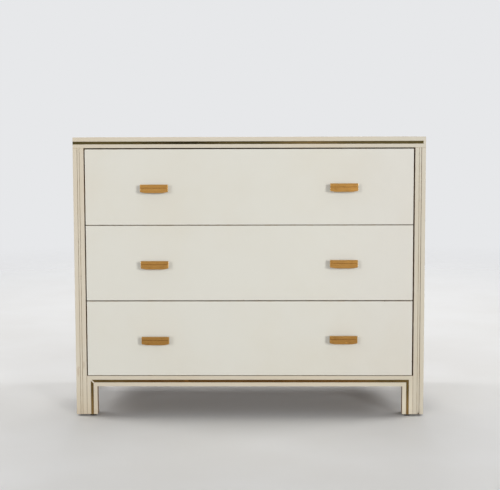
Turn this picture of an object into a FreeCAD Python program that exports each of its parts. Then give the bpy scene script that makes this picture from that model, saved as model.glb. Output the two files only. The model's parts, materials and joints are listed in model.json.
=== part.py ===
import FreeCAD, Part
import os

from FreeCAD import Vector

# A chest of three drawers with brass lines let into its front. Sizes are in millimetres. +Z is up,
# the drawers open towards -Y, and the origin is on the floor under the middle of the chest, pulls
# included.

# Case
WIDTH = 920.0
HEIGHT = 738.0
DEPTH = 450.0
TOP_THICKNESS = 28.0
SIDE_THICKNESS = 28.0
BOTTOM_THICKNESS = 16.0
BACK_THICKNESS = 4.0
BACK_LAP = 10.0  # how far the back panel reaches over the sides and the top

# Base frame, legs and glides
FLOOR_CLEARANCE = 79.8  # floor to the underside of the rails
RAIL_HEIGHT = 28.0
RAIL_THICKNESS = 22.0
REAR_RAIL_THICKNESS = 20.0
FOOT_WIDTH = 28.0
SIDE_LEG_DEPTH = 56.0  # width of the legs at the ends of a side panel's arch
GLIDE_HEIGHT = 4.5
GLIDE_RADIUS = 9.0
GLIDE_PIN_RADIUS = 1.25
GLIDE_PIN_LENGTH = 12.0
RAIL_BLOCK_DEPTH = 20.0
RAIL_BLOCK_LENGTH = 60.0
RAIL_BLOCK_SPACING = 260.0
RAIL_BLOCK_COUNT = 3
FOOT_BLOCK_SIZE = 24.0

# Brass lines and edge strips
INLAY_WIDTH = 7.0
INLAY_DEPTH = 3.0
TOP_INLAY_DROP = 11.0  # top surface to the brass
TOP_INLAY_STOP = 6.5  # plain edge left at the right-hand end
MITRE_BRIDGE = 2.6  # plain wood left across the left-hand mitre
STRIP_WIDTH = 5.2
STRIP_DEPTH = 3.0
STRIP_GAP = 0.5  # hairline along each side of a strip
STRIP_LIFT = 4.0  # how much the right-hand strip is short at the foot

# Drawer fronts and boxes
DRAWERS = ("bottom_drawer", "middle_drawer", "top_drawer")
TOP_GAP = 3.0  # above the top drawer's front
FRONT_GAP = 2.1  # from one front to the next
FRONT_LIFTS = (0.0, 0.3, 0.0)  # how far each front hangs above its even place
BOTTOM_GAP = 1.5  # below the bottom drawer's front
SIDE_GAP = 3.0  # beside each front
FRONT_THICKNESS = 18.0
INNER_FRONT_THICKNESS = 12.0
BOX_SIDE_THICKNESS = 15.0
BOX_BACK_THICKNESS = 12.0
BOX_BOTTOM_THICKNESS = 5.0
BOX_LIFT = 14.0  # lower edge of the front to lower edge of the box
BOX_HEADROOM = 23.0  # upper edge of the box to upper edge of the front
BOX_SIDE_GAP = 4.0  # case side to drawer side
BOX_REAR_GAP = 23.0  # drawer side to back panel
BACK_SETBACK = 15.0  # how far the sides run past the drawer's back
BACK_HOUSING = 5.0
BOTTOM_INSET = 10.0  # lower edge of the box to the drawer's bottom
BOTTOM_HOUSING = 6.0
FINGERS = 7

# Runners
RUNNER_HEIGHT = 18.0
RUNNER_THICKNESS = 10.0
RUNNER_STOP_GAP = 0.5  # drawer front to the runner's end, which stops it
RUNNER_REAR_GAP = 6.0
RUNNING_CLEARANCE = 0.3  # above and below the runner
SIDEWAYS_CLEARANCE = 0.5

# Pulls
PULL_SPACING = 494.0
PULL_DROPS = {"left": 3.4, "right": 1.2}  # below the middle of the drawer front
PULL_WIDTH = 72.4
PULL_HEIGHT = 22.1
PULL_THICKNESS = 4.0
PULL_PROJECTION = 22.0
PULL_FLAT = 42.0  # straight middle of the lower edge
PULL_RISE = 2.9  # rise of the lower edge from there to its ends
PULL_EDGE = 0.8
PULL_GROOVE_DROP = 9.2
PULL_GROOVE_WIDTH = 1.0
PULL_GROOVE_DEPTH = 0.6
POST_RADIUS = 4.5
POST_SPACING = 42.0

# Fasteners
DOWEL_RADIUS = 4.0
DOWEL_LENGTH = 30.0
DOWEL_BITE = 12.0  # length in the board that is drilled from its face
DOWEL_INSET = 60.0
DOWELS_PER_JOINT = 3
DOWEL_CLEARANCE = 0.1
DOWEL_END_GAP = 1.0
SCREW_CLEARANCE = 0.1
SCREW_HEAD_RATIO = 2.0  # countersunk head to shank, across
RUNNER_SCREW_RADIUS = 1.75
RUNNER_SCREW_BITE = 14.0
RUNNER_SCREW_INSET = 40.0
RUNNER_SCREW_COUNT = 3
BACK_SCREW_RADIUS = 1.4
BACK_SCREW_BITE = 12.0
BACK_SCREW_INSET = 70.0
BACK_SCREWS_PER_EDGE = 5
FRONT_SCREW_RADIUS = 1.75
FRONT_SCREW_BITE = 12.0
FRONT_SCREW_INSET = 50.0
FRONT_SCREW_MARGIN = 30.0
FRONT_SCREW_COLUMNS = 3
BOTTOM_SCREW_RADIUS = 1.4
BOTTOM_SCREW_BITE = 14.0
BOTTOM_SCREW_INSET = 50.0
BOTTOM_SCREW_COUNT = 4
PULL_SCREW_RADIUS = 2.0
PULL_SCREW_BITE = 10.0
PULL_SCREW_CLEARANCE = 0.2
PULL_SCREW_HEAD_RADIUS = 4.0
PULL_SCREW_HEAD_HEIGHT = 2.4

OVERCUT = 1.0  # how far a cutter runs past an open face

# Places that follow from the sizes
FRONT = (PULL_PROJECTION - DEPTH) / 2
BACK = FRONT + DEPTH
HALF_WIDTH = WIDTH / 2
INNER_HALF = HALF_WIDTH - SIDE_THICKNESS
SIDE_MIDDLE = HALF_WIDTH - SIDE_THICKNESS / 2
CASE_TOP = HEIGHT - TOP_THICKNESS
BACK_FACE = BACK - BACK_THICKNESS
RAIL_BACK = FRONT + RAIL_THICKNESS
REAR_RAIL_FRONT = BACK_FACE - REAR_RAIL_THICKNESS
RAIL_LOW = FLOOR_CLEARANCE
RAIL_TOP = RAIL_LOW + RAIL_HEIGHT
BOTTOM_LOW = RAIL_TOP - BOTTOM_THICKNESS
BOTTOM_MIDDLE = RAIL_TOP - BOTTOM_THICKNESS / 2
FOOT_IN = INNER_HALF - FOOT_WIDTH

INLAY_IN = FOOT_IN + (FOOT_WIDTH - INLAY_WIDTH) / 2
INLAY_OUT = INLAY_IN + INLAY_WIDTH
INLAY_LOW = RAIL_LOW + (RAIL_HEIGHT - INLAY_WIDTH) / 2
INLAY_HIGH = INLAY_LOW + INLAY_WIDTH
INLAY_SPAN = (FRONT, FRONT + INLAY_DEPTH)

FRONT_HALF = INNER_HALF - SIDE_GAP
FRONT_GAPS = TOP_GAP + BOTTOM_GAP + (len(DRAWERS) - 1) * FRONT_GAP
FRONT_HEIGHT = (CASE_TOP - RAIL_TOP - FRONT_GAPS) / len(DRAWERS)
FRONT_BACK = FRONT + FRONT_THICKNESS
BOX_FACE = FRONT_BACK + INNER_FRONT_THICKNESS
BOX_END = BACK_FACE - BOX_REAR_GAP
BOX_HEIGHT = FRONT_HEIGHT - BOX_LIFT - BOX_HEADROOM
BOX_OUT = INNER_HALF - BOX_SIDE_GAP
BOX_IN = BOX_OUT - BOX_SIDE_THICKNESS
DRAWER_BACK_END = BOX_END - BACK_SETBACK
DRAWER_BACK_FRONT = DRAWER_BACK_END - BOX_BACK_THICKNESS
RUNNER_FACE = INNER_HALF - RUNNER_THICKNESS
RUNNER_SPAN = (FRONT_BACK + RUNNER_STOP_GAP, BACK_FACE - RUNNER_REAR_GAP)

SIDES = (("left", -1), ("right", 1))

X = Vector(1, 0, 0)
Y = Vector(0, 1, 0)
Z = Vector(0, 0, 1)


# Shapes

def block(x, y, z):
    """Rectangular board between the given pairs of x, y and z."""
    return Part.makeBox(x[1] - x[0], y[1] - y[0], z[1] - z[0], Vector(x[0], y[0], z[0]))


def board(points, y):
    """Board whose outline in x and z is given by points, between two values of y."""
    corners = [Vector(x, y[0], z) for x, z in points]
    face = Part.Face(Part.makePolygon(corners + corners[:1]))
    return face.extrude(Y * (y[1] - y[0]))


def mirrored(shape):
    """The same shape on the other side of the chest."""
    return shape.mirror(Vector(0, 0, 0), X)


def spread(first, last, count):
    """Evenly spaced values from first to last."""
    step = (last - first) / (count - 1)
    return [first + step * i for i in range(count)]


# Fasteners: each place is a head or end point, a direction, a length and a radius

def countersunk(place, clearance=0.0):
    """Wood screw with its flat head at the surface, or its hole when clearance is given."""
    point, direction, length, radius = place
    head_radius = SCREW_HEAD_RATIO * radius
    head_depth = head_radius - radius
    cone = Part.makeCone(head_radius + clearance, radius + clearance, head_depth, point, direction)
    shank = Part.makeCylinder(
        radius + clearance, length - head_depth + clearance, point + direction * head_depth, direction
    )
    return cone.fuse(shank).removeSplitter()


def screw_holes(places):
    return [countersunk(place, SCREW_CLEARANCE) for place in places]


def dowel(place):
    point, direction = place
    return Part.makeCylinder(DOWEL_RADIUS, DOWEL_LENGTH, point, direction)


def dowel_hole(place):
    point, direction = place
    return Part.makeCylinder(
        DOWEL_RADIUS + DOWEL_CLEARANCE,
        DOWEL_LENGTH + 2 * DOWEL_END_GAP,
        point - direction * DOWEL_END_GAP,
        direction,
    )


def both_sides(places):
    """The places given for the right-hand side, and their mirror images."""
    flipped = [
        (Vector(-place[0].x, place[0].y, place[0].z), Vector(-place[1].x, place[1].y, place[1].z))
        + tuple(place[2:])
        for place in places
    ]
    return list(places) + flipped


def front_low(index):
    """Lower edge of a drawer front, counted from the bottom drawer."""
    return RAIL_TOP + BOTTOM_GAP + index * (FRONT_HEIGHT + FRONT_GAP) + FRONT_LIFTS[index]


def runner_middle(index):
    return front_low(index) + BOX_LIFT + BOX_HEIGHT / 2


DOWEL_ROWS = spread(FRONT + DOWEL_INSET, BACK - DOWEL_INSET, DOWELS_PER_JOINT)
DOWEL_COLUMNS = spread(DOWEL_INSET - INNER_HALF, INNER_HALF - DOWEL_INSET, DOWELS_PER_JOINT)

TOP_DOWELS = [
    (Vector(SIDE_MIDDLE, y, CASE_TOP + DOWEL_BITE - DOWEL_LENGTH), Z) for y in DOWEL_ROWS
]
SIDE_DOWELS = [
    (Vector(INNER_HALF + DOWEL_BITE - DOWEL_LENGTH, y, BOTTOM_MIDDLE), X) for y in DOWEL_ROWS
]
RAIL_DOWELS = [(Vector(x, RAIL_BACK - DOWEL_BITE, BOTTOM_MIDDLE), Y) for x in DOWEL_COLUMNS]
REAR_RAIL_DOWELS = [
    (Vector(x, REAR_RAIL_FRONT + DOWEL_BITE - DOWEL_LENGTH, BOTTOM_MIDDLE), Y)
    for x in DOWEL_COLUMNS
]
ALL_DOWELS = both_sides(TOP_DOWELS) + both_sides(SIDE_DOWELS) + RAIL_DOWELS + REAR_RAIL_DOWELS

RUNNER_SCREW_ROW = spread(
    RUNNER_SPAN[0] + RUNNER_SCREW_INSET, RUNNER_SPAN[1] - RUNNER_SCREW_INSET, RUNNER_SCREW_COUNT
)
RUNNER_SCREWS = [
    (
        Vector(RUNNER_FACE, y, runner_middle(index)),
        X,
        RUNNER_THICKNESS + RUNNER_SCREW_BITE,
        RUNNER_SCREW_RADIUS,
    )
    for index in range(len(DRAWERS))
    for y in RUNNER_SCREW_ROW
]

BACK_SCREW_LENGTH = BACK_THICKNESS + BACK_SCREW_BITE
BACK_EDGE_SCREWS = [
    (Vector(INNER_HALF + BACK_LAP / 2, BACK, z), -Y, BACK_SCREW_LENGTH, BACK_SCREW_RADIUS)
    for z in spread(RAIL_LOW + BACK_SCREW_INSET, CASE_TOP - BACK_SCREW_INSET, BACK_SCREWS_PER_EDGE)
]
BACK_ROW_SCREWS = [
    (Vector(x, BACK, z), -Y, BACK_SCREW_LENGTH, BACK_SCREW_RADIUS)
    for x in spread(BACK_SCREW_INSET - INNER_HALF, INNER_HALF - BACK_SCREW_INSET, BACK_SCREWS_PER_EDGE)
    for z in (RAIL_LOW + BACK_LAP / 2, CASE_TOP + BACK_LAP / 2)
]

LEG_GLIDES = [
    Vector(side * SIDE_MIDDLE, y, 0)
    for _, side in SIDES
    for y in (FRONT + SIDE_LEG_DEPTH / 2, BACK - SIDE_LEG_DEPTH / 2)
]
FOOT_GLIDES = [
    Vector(side * (FOOT_IN + FOOT_WIDTH / 2), FRONT + RAIL_THICKNESS / 2, 0) for _, side in SIDES
]


# Case

def glide(centre):
    """Nail-on glide: a round foot and its pin."""
    disc = Part.makeCylinder(GLIDE_RADIUS, GLIDE_HEIGHT, centre, Z)
    pin = Part.makeCylinder(GLIDE_PIN_RADIUS, GLIDE_PIN_LENGTH, centre + Z * GLIDE_HEIGHT, Z)
    return disc.fuse(pin)


def glide_holes(centres):
    return [
        Part.makeCylinder(
            GLIDE_PIN_RADIUS + SCREW_CLEARANCE,
            GLIDE_PIN_LENGTH + SCREW_CLEARANCE,
            centre + Z * GLIDE_HEIGHT,
            Z,
        )
        for centre in centres
    ]


def back_board():
    """Outline of the back panel, which also makes its rabbets."""
    reach = INNER_HALF + BACK_LAP
    return block((-reach, reach), (BACK_FACE, BACK), (RAIL_LOW, CASE_TOP + BACK_LAP))


def top_line():
    """The brass line along the front edge of the top."""
    high = HEIGHT - TOP_INLAY_DROP
    return block((-HALF_WIDTH, HALF_WIDTH - TOP_INLAY_STOP), INLAY_SPAN, (high - INLAY_WIDTH, high))


def top_panel():
    panel = block((-HALF_WIDTH, HALF_WIDTH), (FRONT, BACK), (CASE_TOP, HEIGHT))
    dowel_holes = [dowel_hole(place) for place in both_sides(TOP_DOWELS)]
    return panel.cut([top_line(), back_board()] + dowel_holes + screw_holes(BACK_ROW_SCREWS))


def side_panel():
    """Right-hand side, with its leg arch, strip groove and back rabbet."""
    panel = block((INNER_HALF, HALF_WIDTH), (FRONT, BACK), (GLIDE_HEIGHT, CASE_TOP))
    arch = block(
        (INNER_HALF - OVERCUT, HALF_WIDTH + OVERCUT),
        (FRONT + SIDE_LEG_DEPTH, BACK - SIDE_LEG_DEPTH),
        (0, FLOOR_CLEARANCE),
    )
    groove_half = STRIP_WIDTH / 2 + STRIP_GAP
    groove = block(
        (SIDE_MIDDLE - groove_half, SIDE_MIDDLE + groove_half),
        (FRONT, FRONT + STRIP_DEPTH),
        (GLIDE_HEIGHT, CASE_TOP),
    )
    dowel_holes = [dowel_hole(place) for place in TOP_DOWELS + SIDE_DOWELS]
    holes = dowel_holes + screw_holes(RUNNER_SCREWS + BACK_EDGE_SCREWS) + glide_holes(LEG_GLIDES)
    return panel.cut([arch, groove, back_board()] + holes)


def edge_strip(side):
    """Strip let into the front edge of a side panel."""
    middle = side * SIDE_MIDDLE
    low = GLIDE_HEIGHT + (STRIP_LIFT if side > 0 else 0.0)
    return block(
        (middle - STRIP_WIDTH / 2, middle + STRIP_WIDTH / 2), (FRONT, FRONT + STRIP_DEPTH), (low, CASE_TOP)
    )


def bottom_panel():
    panel = block((-INNER_HALF, INNER_HALF), (RAIL_BACK, REAR_RAIL_FRONT), (BOTTOM_LOW, RAIL_TOP))
    places = both_sides(SIDE_DOWELS) + RAIL_DOWELS + REAR_RAIL_DOWELS
    return panel.cut([dowel_hole(place) for place in places])


def back_panel():
    return back_board().cut(screw_holes(both_sides(BACK_EDGE_SCREWS) + BACK_ROW_SCREWS))


def rear_rail():
    rail = block((-INNER_HALF, INNER_HALF), (REAR_RAIL_FRONT, BACK_FACE), (RAIL_LOW, RAIL_TOP))
    holes = [dowel_hole(place) for place in REAR_RAIL_DOWELS] + screw_holes(BACK_ROW_SCREWS)
    return rail.cut(holes)


# Base frame: a rail and two feet mitred together, with a mitred brass line along their middle

def upright(inner, outer, low, high, y):
    """Right-hand upright from the floor, mitred at its top from (inner, low) to (outer, high)."""
    return board([(inner, GLIDE_HEIGHT), (outer, GLIDE_HEIGHT), (outer, high), (inner, low)], y)


def crosspiece(inner, outer, low, high, y):
    """Rail across the front, mitred at both ends."""
    return board([(-outer, high), (outer, high), (inner, low), (-inner, low)], y)


def mitre_bridge():
    """Band along the left-hand mitre of the brass line, where the wood is left standing."""
    reach = MITRE_BRIDGE / 2
    start = (-INLAY_OUT - MITRE_BRIDGE, INLAY_HIGH + MITRE_BRIDGE)
    end = (-INLAY_IN + MITRE_BRIDGE, INLAY_LOW - MITRE_BRIDGE)
    points = [
        (start[0] - reach, start[1] - reach),
        (end[0] - reach, end[1] - reach),
        (end[0] + reach, end[1] + reach),
        (start[0] + reach, start[1] + reach),
    ]
    return board(points, (FRONT - OVERCUT, FRONT + INLAY_DEPTH + OVERCUT))


def foot_line(side):
    line = upright(INLAY_IN, INLAY_OUT, INLAY_LOW, INLAY_HIGH, INLAY_SPAN)
    return line if side > 0 else mirrored(line).cut(mitre_bridge())


def base_line():
    line = crosspiece(INLAY_IN, INLAY_OUT, INLAY_LOW, INLAY_HIGH, INLAY_SPAN)
    return line.cut(mitre_bridge())


def base_rail():
    rail = crosspiece(FOOT_IN, INNER_HALF, RAIL_LOW, RAIL_TOP, (FRONT, RAIL_BACK))
    lines = [base_line()] + [foot_line(side) for _, side in SIDES]
    return rail.cut(lines + [dowel_hole(place) for place in RAIL_DOWELS])


def foot(side):
    upright_foot = upright(FOOT_IN, INNER_HALF, RAIL_LOW, RAIL_TOP, (FRONT, RAIL_BACK))
    if side < 0:
        upright_foot = mirrored(upright_foot)
    return upright_foot.cut([foot_line(side), base_line()] + glide_holes(FOOT_GLIDES))


def glue_blocks():
    """Wedges behind the rails, under the bottom panel, and blocks behind the feet."""
    blocks = []
    for middle in spread(-RAIL_BLOCK_SPACING, RAIL_BLOCK_SPACING, RAIL_BLOCK_COUNT):
        for face, direction in ((RAIL_BACK, 1), (REAR_RAIL_FRONT, -1)):
            start = middle - RAIL_BLOCK_LENGTH / 2
            corners = [
                Vector(start, face, RAIL_LOW),
                Vector(start, face, BOTTOM_LOW),
                Vector(start, face + direction * RAIL_BLOCK_DEPTH, BOTTOM_LOW),
            ]
            triangle = Part.Face(Part.makePolygon(corners + corners[:1]))
            blocks.append(triangle.extrude(X * RAIL_BLOCK_LENGTH))
    for _, side in SIDES:
        wall = side * INNER_HALF
        corners = [
            Vector(wall, RAIL_BACK, GLIDE_HEIGHT),
            Vector(wall - side * FOOT_BLOCK_SIZE, RAIL_BACK, GLIDE_HEIGHT),
            Vector(wall, RAIL_BACK + FOOT_BLOCK_SIZE, GLIDE_HEIGHT),
        ]
        triangle = Part.Face(Part.makePolygon(corners + corners[:1]))
        blocks.append(triangle.extrude(Z * (BOTTOM_LOW - GLIDE_HEIGHT)))
    return Part.makeCompound(blocks)


def runner(index, side):
    """Hardwood strip that carries one side of a drawer."""
    middle = runner_middle(index)
    strip = block(
        (RUNNER_FACE, INNER_HALF), RUNNER_SPAN, (middle - RUNNER_HEIGHT / 2, middle + RUNNER_HEIGHT / 2)
    ).cut(screw_holes(RUNNER_SCREWS))
    return strip if side > 0 else mirrored(strip)


def case_pieces():
    pieces = {
        "top_panel": top_panel(),
        "bottom_panel": bottom_panel(),
        "back_panel": back_panel(),
        "base_rail": base_rail(),
        "rear_rail": rear_rail(),
        "top_inlay": top_line(),
        "base_inlay": base_line(),
        "left_side_panel": mirrored(side_panel()),
        "right_side_panel": side_panel(),
        "glue_blocks": glue_blocks(),
        "floor_glides": Part.makeCompound([glide(centre) for centre in LEG_GLIDES + FOOT_GLIDES]),
        "case_dowels": Part.makeCompound([dowel(place) for place in ALL_DOWELS]),
        "runner_screws": Part.makeCompound([countersunk(place) for place in both_sides(RUNNER_SCREWS)]),
        "back_screws": Part.makeCompound(
            [countersunk(place) for place in both_sides(BACK_EDGE_SCREWS) + BACK_ROW_SCREWS]
        ),
    }
    for name, side in SIDES:
        pieces[name + "_foot"] = foot(side)
        pieces[name + "_foot_inlay"] = foot_line(side)
        pieces[name + "_edge_strip"] = edge_strip(side)
        for index, drawer in enumerate(DRAWERS):
            pieces[drawer + "_" + name + "_runner"] = runner(index, side)
    return pieces


# Drawers

def pull_plate(x, z):
    """Flat bar with a straight upper edge, lower corners cut at a slant and a fine groove."""
    face_y = FRONT - PULL_PROJECTION
    left, right = x - PULL_WIDTH / 2, x + PULL_WIDTH / 2
    top, low = z + PULL_HEIGHT / 2, z - PULL_HEIGHT / 2
    outline = [
        (x - PULL_FLAT / 2, low),
        (x + PULL_FLAT / 2, low),
        (right, low + PULL_RISE),
        (right, top),
        (left, top),
        (left, low + PULL_RISE),
    ]
    plate = board(outline, (face_y, face_y + PULL_THICKNESS))
    outer_edges = [edge for edge in plate.Edges if edge.BoundBox.YMax < face_y + PULL_EDGE]
    plate = plate.makeFillet(PULL_EDGE, outer_edges)
    groove_z = top - PULL_GROOVE_DROP
    notch = [
        Vector(left - OVERCUT, face_y, groove_z - PULL_GROOVE_WIDTH / 2),
        Vector(left - OVERCUT, face_y + PULL_GROOVE_DEPTH, groove_z),
        Vector(left - OVERCUT, face_y, groove_z + PULL_GROOVE_WIDTH / 2),
    ]
    groove = Part.Face(Part.makePolygon(notch + notch[:1])).extrude(X * (PULL_WIDTH + 2 * OVERCUT))
    return plate.cut(groove)


def post_places(x, z):
    """Points on the drawer front where a pull's two posts stand."""
    return [Vector(x + offset, FRONT, z) for offset in (-POST_SPACING / 2, POST_SPACING / 2)]


def pull(x, z):
    """Brass pull: the bar and two posts, bored and tapped for its screws."""
    reach = PULL_PROJECTION - PULL_THICKNESS
    shape = pull_plate(x, z)
    for point in post_places(x, z):
        shape = shape.fuse(Part.makeCylinder(POST_RADIUS, reach, point, -Y))
    bores = [
        Part.makeCylinder(PULL_SCREW_RADIUS + SCREW_CLEARANCE, PULL_SCREW_BITE + OVERCUT, point, -Y)
        for point in post_places(x, z)
    ]
    return shape.cut(bores)


def pull_screw(point, clearance=0.0):
    """Machine screw from inside the drawer into the post at point, or its hole."""
    depth = BOX_FACE - FRONT
    start = Vector(point.x, BOX_FACE, point.z)
    return Part.makeCylinder(
        PULL_SCREW_RADIUS + clearance, depth + PULL_SCREW_BITE + clearance, start, -Y
    )


def pull_screw_with_head(point):
    head = Part.makeCylinder(
        PULL_SCREW_HEAD_RADIUS, PULL_SCREW_HEAD_HEIGHT, Vector(point.x, BOX_FACE, point.z), Y
    )
    return pull_screw(point).fuse(head)


def finger_blocks(low, first):
    """Every second finger of the front corner joint, on the right-hand side."""
    height = BOX_HEIGHT / FINGERS
    return [
        block((BOX_IN, BOX_OUT), (FRONT_BACK, BOX_FACE), (low + height * i, low + height * (i + 1)))
        for i in range(first, FINGERS, 2)
    ]


def drawer_pieces(index, prefix):
    """All the pieces of one drawer."""
    low = front_low(index)
    box_low = low + BOX_LIFT
    box_top = box_low + BOX_HEIGHT
    bottom_low = box_low + BOTTOM_INSET
    bottom_top = bottom_low + BOX_BOTTOM_THICKNESS
    middle = low + FRONT_HEIGHT / 2
    pull_places = {
        name: (hand * PULL_SPACING / 2, middle - PULL_DROPS[name]) for name, hand in SIDES
    }
    posts = [point for place in pull_places.values() for point in post_places(*place)]
    pull_holes = [pull_screw(point, PULL_SCREW_CLEARANCE) for point in posts]

    front_screws = [
        (Vector(x, BOX_FACE, z), -Y, INNER_FRONT_THICKNESS + FRONT_SCREW_BITE, FRONT_SCREW_RADIUS)
        for x in spread(FRONT_SCREW_INSET - BOX_IN, BOX_IN - FRONT_SCREW_INSET, FRONT_SCREW_COLUMNS)
        for z in (box_low + FRONT_SCREW_MARGIN, box_top - FRONT_SCREW_MARGIN)
    ]
    bottom_screws = [
        (
            Vector(x, DRAWER_BACK_END - BOX_BACK_THICKNESS / 2, bottom_low),
            Z,
            BOX_BOTTOM_THICKNESS + BOTTOM_SCREW_BITE,
            BOTTOM_SCREW_RADIUS,
        )
        for x in spread(BOTTOM_SCREW_INSET - BOX_IN, BOX_IN - BOTTOM_SCREW_INSET, BOTTOM_SCREW_COUNT)
    ]

    groove_half = RUNNER_HEIGHT / 2 + RUNNING_CLEARANCE
    groove = block(
        (RUNNER_FACE - SIDEWAYS_CLEARANCE, INNER_HALF),
        (FRONT_BACK, BOX_END),
        (runner_middle(index) - groove_half, runner_middle(index) + groove_half),
    )
    slot_half = BOX_IN + BOTTOM_HOUSING
    slot_front = BOX_FACE - BOTTOM_HOUSING
    slot = block((-slot_half, slot_half), (slot_front, BOX_END), (bottom_low, bottom_top))
    bottom = block((-slot_half, slot_half), (slot_front, DRAWER_BACK_END), (bottom_low, bottom_top))
    back_half = BOX_IN + BACK_HOUSING
    back = block(
        (-back_half, back_half), (DRAWER_BACK_FRONT, DRAWER_BACK_END), (bottom_top, box_top)
    )

    front = block((-FRONT_HALF, FRONT_HALF), (FRONT, FRONT_BACK), (low, low + FRONT_HEIGHT))
    inner_front = block((-BOX_OUT, BOX_OUT), (FRONT_BACK, BOX_FACE), (box_low, box_top))
    side_fingers = finger_blocks(box_low, 0)
    corner_cuts = side_fingers + [groove]
    inner_front = inner_front.cut(corner_cuts + [mirrored(shape) for shape in corner_cuts])
    side = block((BOX_IN, BOX_OUT), (FRONT_BACK, BOX_END), (box_low, box_top))
    side = side.cut(finger_blocks(box_low, 1) + [groove, slot, back])

    pieces = {
        "front": front.cut(pull_holes + screw_holes(front_screws)),
        "inner_front": inner_front.cut([slot] + pull_holes + screw_holes(front_screws)),
        "left_side": mirrored(side),
        "right_side": side,
        "back": back.cut(screw_holes(bottom_screws)),
        "bottom": bottom.cut(screw_holes(bottom_screws)),
        "pull_screws": Part.makeCompound([pull_screw_with_head(point) for point in posts]),
        "box_screws": Part.makeCompound(
            [countersunk(place) for place in front_screws + bottom_screws]
        ),
    }
    for name, place in pull_places.items():
        pieces[name + "_pull"] = pull(*place)
    return {prefix + "_" + name: shape for name, shape in pieces.items()}


def main():
    pieces = case_pieces()
    for index, prefix in enumerate(DRAWERS):
        pieces.update(drawer_pieces(index, prefix))
    os.makedirs("parts", exist_ok=True)
    for name, shape in pieces.items():
        shape.exportStep("parts/" + name + ".step")


main()
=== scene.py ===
import json
import math

import bmesh
import bpy
from mathutils import Matrix, Vector


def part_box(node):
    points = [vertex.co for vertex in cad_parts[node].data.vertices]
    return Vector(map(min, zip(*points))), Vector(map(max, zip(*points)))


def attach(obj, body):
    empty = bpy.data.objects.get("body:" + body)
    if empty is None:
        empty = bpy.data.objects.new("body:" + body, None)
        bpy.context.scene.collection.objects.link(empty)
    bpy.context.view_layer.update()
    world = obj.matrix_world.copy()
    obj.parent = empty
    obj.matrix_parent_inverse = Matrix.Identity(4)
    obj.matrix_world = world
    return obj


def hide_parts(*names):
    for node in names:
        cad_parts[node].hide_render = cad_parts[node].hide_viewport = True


# A cream chest of three drawers with brass lines let into its front and brass bar pulls. Lengths
# are in metres. +Z is up, the drawers open towards -Y, and the origin is on the floor under the
# middle of the chest. Each finished piece takes its place from the node that it stands for.

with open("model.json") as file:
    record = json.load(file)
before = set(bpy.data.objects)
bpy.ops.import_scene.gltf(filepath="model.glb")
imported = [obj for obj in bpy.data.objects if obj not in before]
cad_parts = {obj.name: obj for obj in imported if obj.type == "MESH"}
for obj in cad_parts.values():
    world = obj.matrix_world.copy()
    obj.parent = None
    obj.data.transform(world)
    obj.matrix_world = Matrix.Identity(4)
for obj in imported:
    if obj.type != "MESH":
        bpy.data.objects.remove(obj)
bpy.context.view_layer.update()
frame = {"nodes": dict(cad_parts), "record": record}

RECORD = frame["record"]
SLOT_OF = {part["node"]: part["material_slot"] for part in RECORD["subparts"]}
BODY_OF = {
    node: body for body, nodes in RECORD["behaviour"]["bodies"].items() for node in nodes
}

# Places that the finishes and the lights need
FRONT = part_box("top_panel")[0].y
CASE_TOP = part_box("top_panel")[0].z
INNER_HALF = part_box("right_side_panel")[0].x
RAIL_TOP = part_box("base_rail")[1].z

# Mesh limits
MERGE = 1e-6
MITRE_SLACK = 5e-5
FLAT = math.radians(1)  # faces that meet at less are one face
SHARP = math.radians(50)  # edges that turn by more are eased
SOFT = math.radians(40)  # edges that turn by less are shaded smooth
SHORTEST_EDGE = 0.004
EASE_STEPS = 3
TURNED_STEPS = 32
ROUND = 0.5  # a bevel's profile

# How far the edges of each kind of board are eased
EASING = {
    "case_cream": 0.0006,
    "case_board": 0.0004,
    "case_softwood": 0.0008,
    "back_hardboard": 0.0004,
    "drawer_maple": 0.0004,
    "drawer_plywood": 0.0003,
    "runner_beech": 0.0012,
    "inlay_brass": 0.0003,
}
FRONT_EASING = 0.0007

# Pulls
BAR_THICKNESS = 0.004
BAR_FLAT = 0.046  # straight middle of the lower edge
BAR_RISE = 0.0026  # rise of the lower edge from there to its ends
BAR_CORNER = 0.0010
BAR_BEND = 0.0030  # how far from each bend of the lower edge its rounding starts
BAR_FACE_EASING = 0.0007
BAR_BACK_EASING = 0.0003
BAR_EASE_STEPS = 4
SQUARELY = 0.5  # a normal's share along Y on the face and the back of the bar
GROOVE_DROP = 0.0092
GROOVE_HALF = 0.0005
GROOVE_DEPTH = 0.0005
POST_RADIUS = 0.0045
POST_HALF_SPACING = 0.021
POST_COLLAR_RADIUS = 0.0058
POST_COLLAR = 0.0014
POST_COLLAR_WALL = 0.6  # of the collar's height
POST_FLARE = 0.0007
POST_COLLAR_CHAMFER = 0.5  # of the flare

# Screws and glides
RECESS_REACH = 0.56  # of the head's radius
RECESS_HALF_WIDTH = 0.15
RECESS_DEPTH = 0.42
RECESS_TAPER = 0.6
PAN_SHOULDER = 0.82
PAN_SLOPE = 0.4  # of a pan head's height
TIP_TAPER = 0.25
TIP_LENGTH = 2  # shank radii
RIM_SHARE = 0.98  # of the head's radius, past which a point is on its rim
HEAD_STEPS = 24
GLIDE_LIP = 0.0009
GLIDE_FLAT_EDGE = 2.2  # lips in from the rim
GLIDE_LIP_CORNER = 0.25  # of the lip
GLIDE_ROUNDING = 0.6  # of the glide's thickness
NAIL_SINK = 0.45  # of the glide's thickness
NAIL_HEAD = 0.3  # of the glide's radius
NAIL_HOLE = 0.38  # of the glide's radius


# Meshes

def merged_copy(node):
    """The mesh of a node as joined flat faces."""
    bm = bmesh.new()
    bm.from_mesh(frame["nodes"][node].data)
    bmesh.ops.remove_doubles(bm, verts=bm.verts, dist=MERGE)
    bmesh.ops.dissolve_limit(bm, angle_limit=FLAT, verts=bm.verts, edges=bm.edges)
    return bm


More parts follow.
